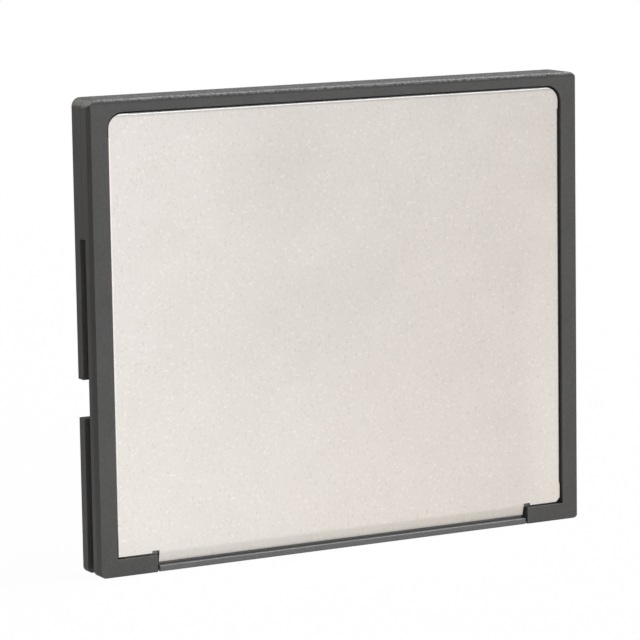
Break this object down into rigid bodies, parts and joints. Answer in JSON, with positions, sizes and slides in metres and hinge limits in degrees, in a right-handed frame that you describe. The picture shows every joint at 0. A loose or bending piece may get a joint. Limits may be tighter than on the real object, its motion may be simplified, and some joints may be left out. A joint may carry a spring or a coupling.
{
  "type": "compact flash card",
  "caption": "Thin flat memory card with a dark moulded frame, satin sheet metal panels, guide grooves in both long sides and a socket connector along one edge.",
  "frame": {"origin": "middle of the connector edge, in the middle of the card's thickness; the card stands on that edge", "axes": "+X along the connector edge, +Y from the front panel towards the rear panel, +Z from the connector edge towards the far edge"},
  "size_m": [0.0428, 0.0032, 0.0364],
  "materials": {
    "moulded_frame": "fine matt moulded texture",
    "sheet_panel": "fine bead-blasted satin",
    "connector_plastic": "smooth moulded",
    "contact_metal": "gold plated, smooth",
    "board_laminate": "satin solder mask",
    "chip_plastic": "matt moulding compound",
    "lead_metal": "tin plated",
    "crystal_case": "satin",
    "capacitor_ceramic": "satin ceramic",
    "resistor_ceramic": "satin ceramic",
    "ferrite": "matt sintered",
    "insulating_film": "smooth film",
    "spring_metal": "smooth"
  },
  "bodies": {
    "root": {"front_frame": "moulded_frame", "rear_frame": "moulded_frame", "front_panel": "sheet_panel", "rear_panel": "sheet_panel", "connector_housing": "connector_plastic", "front_row_contacts": "contact_metal", "rear_row_contacts": "contact_metal", "circuit_board": "board_laminate", "controller_chip": "chip_plastic", "controller_leads": "lead_metal", "front_memory_chip": "chip_plastic", "front_memory_leads": "lead_metal", "rear_memory_chip": "chip_plastic", "rear_memory_leads": "lead_metal", "crystal": "crystal_case", "voltage_regulator": "chip_plastic", "regulator_leads": "lead_metal", "decoupling_capacitors": "capacitor_ceramic", "bulk_capacitors": "capacitor_ceramic", "resistor_arrays": "resistor_ceramic", "ferrite_bead": "ferrite", "front_insulating_film": "insulating_film", "rear_insulating_film": "insulating_film", "front_ground_springs": "spring_metal", "rear_ground_springs": "spring_metal"}
  },
  "joints": []
}
